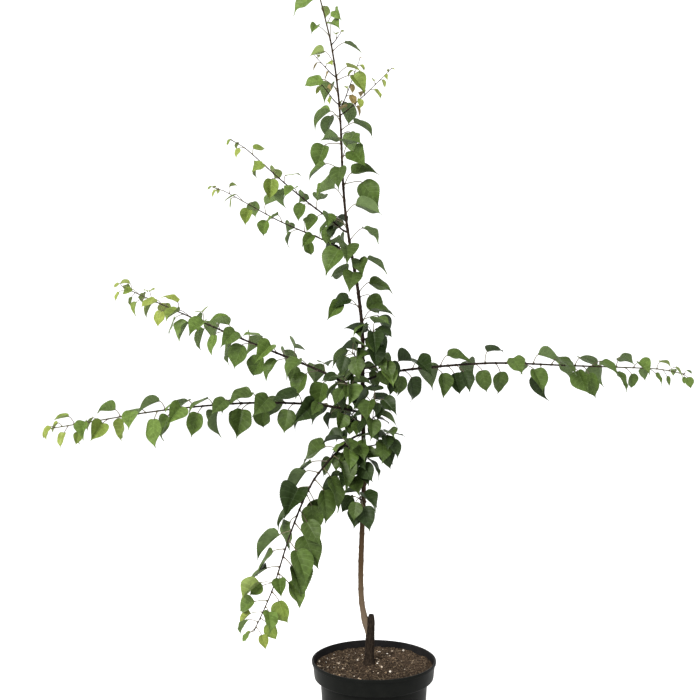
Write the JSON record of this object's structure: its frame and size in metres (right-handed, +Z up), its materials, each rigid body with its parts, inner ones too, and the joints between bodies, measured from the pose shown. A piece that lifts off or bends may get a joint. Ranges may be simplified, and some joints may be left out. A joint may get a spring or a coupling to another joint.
{
  "type": "potted bush apricot tree",
  "caption": "Young bush apricot tree with a thin leader, long spreading boughs and single hanging heart-shaped leaves, in a round black nursery pot of compost.",
  "frame": {"origin": "middle of the pot's flat underside, where it stands on the ground", "axes": "+Z up along the stem, +X to the viewer's right and +Y away from the viewer, as the reference picture shows the tree"},
  "size_m": [1.373, 0.4434, 1.7802],
  "materials": {
    "pot_plastic": "satin moulded black",
    "compost": "loose, fibrous and matte",
    "bark": "rough grey-brown bark",
    "young_bark": "smooth purple-brown bark",
    "foliage": "satin green leaves"
  },
  "bodies": {
    "root": {"pot": "pot_plastic", "compost": "compost", "trunk": "bark", "bough_right": "young_bark", "bough_left_middle": "young_bark", "bough_left_lower": "young_bark", "bough_drooping": "young_bark", "bough_upper_left_high": "young_bark", "bough_upper_left_low": "young_bark", "shoot_right": "foliage", "shoot_left_middle": "foliage", "shoot_left_lower": "foliage", "shoot_drooping": "foliage", "shoot_upper_left_high": "foliage", "shoot_upper_left_low": "foliage", "top_shoot_right": "foliage", "top_shoot_far_right": "foliage", "top_shoot_left": "foliage", "top_shoot_upper_left": "foliage", "top_shoot_stub": "foliage", "leader_tip": "foliage", "spur_01": "foliage", "spur_02": "foliage", "spur_03": "foliage", "spur_04": "foliage", "spur_05": "foliage", "spur_06": "foliage", "spur_07": "foliage", "spur_08": "foliage", "spur_09": "foliage", "spur_10": "foliage", "spur_11": "foliage", "spur_12": "foliage", "spur_13": "foliage", "leader_spray_01": "foliage", "leader_spray_02": "foliage", "leader_spray_03": "foliage", "leader_spray_04": "foliage", "leader_spray_05": "foliage", "leader_spray_06": "foliage", "leader_spray_07": "foliage", "leader_spray_08": "foliage", "leader_spray_09": "foliage", "leader_spray_10": "foliage", "leader_spray_11": "foliage", "leader_spray_12": "foliage", "leader_spray_13": "foliage", "leader_spray_14": "foliage", "leader_spray_15": "foliage", "leader_spray_16": "foliage", "leader_spray_17": "foliage", "leader_spray_18": "foliage", "leader_spray_19": "foliage", "leader_spray_20": "foliage", "leader_spray_21": "foliage", "leader_spray_22": "foliage", "leader_spray_23": "foliage", "leader_spray_24": "foliage"}
  },
  "joints": []
}
